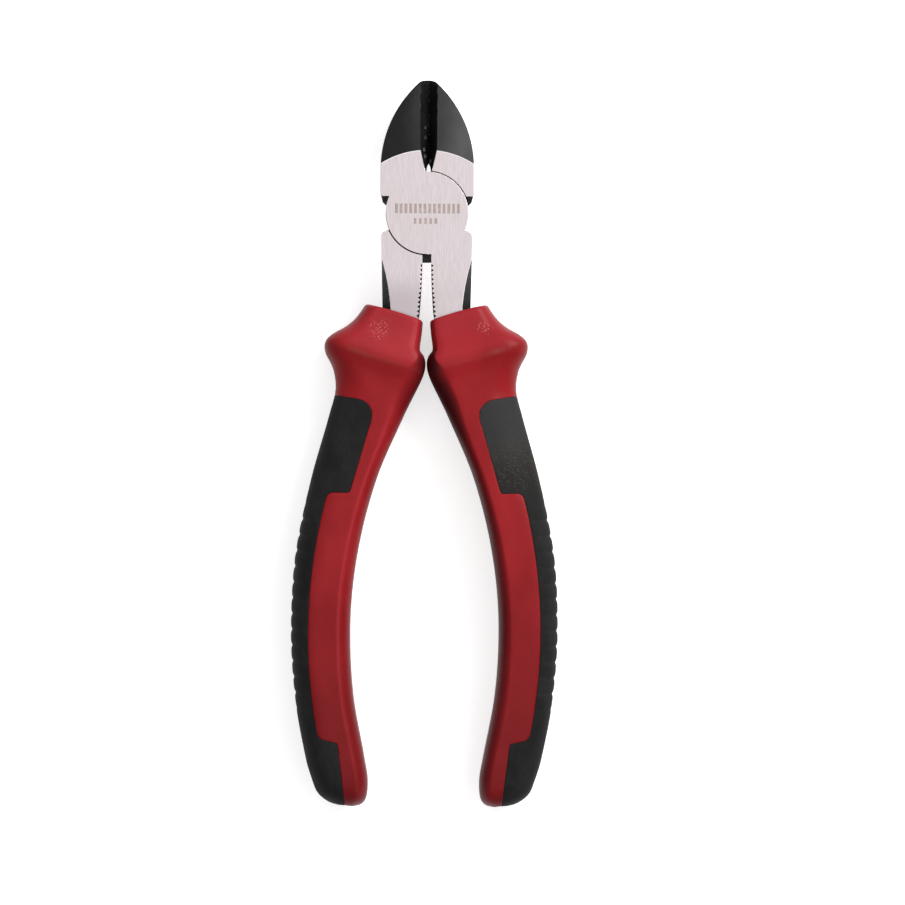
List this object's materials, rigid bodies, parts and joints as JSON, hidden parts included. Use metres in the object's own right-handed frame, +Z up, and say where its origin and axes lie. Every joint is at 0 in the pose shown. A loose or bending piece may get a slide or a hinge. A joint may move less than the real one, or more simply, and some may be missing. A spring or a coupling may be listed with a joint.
{
  "type": "diagonal cutting pliers",
  "caption": "Diagonal cutting pliers with a riveted lap joint, blackened bevelled jaws and curved two-component grips that flare into thumb guards.",
  "frame": {"origin": "middle of the box's underside: the tool lies flat on its grips, closed", "axes": "+Y along the tool towards the jaw tips, +Z up through its thickness out of the front joint face, +X to the right seen from the front"},
  "size_m": [0.0662, 0.18, 0.02],
  "materials": {
    "lever_steel": "faces ground along the tool's length, jaws and flanks blackened",
    "rivet_steel": "ground flush with the back joint face",
    "red_plastic": "satin moulded plastic",
    "charcoal_rubber": "matte soft moulding with ribs on its outer edge"
  },
  "bodies": {
    "rear_half": {"rear_lever": "lever_steel", "left_grip_core": "red_plastic", "left_grip_overmould": "charcoal_rubber"},
    "front_half": {"front_lever": "lever_steel", "pivot_rivet": "rivet_steel", "right_grip_core": "red_plastic", "right_grip_overmould": "charcoal_rubber"}
  },
  "joints": [
    {"name": "pivot", "type": "hinge", "parent": "rear_half", "child": "front_half", "pos_m": [0, 0.057, 0.01], "axis": [0, 0, 1], "range_deg": [0, 30]}
  ]
}
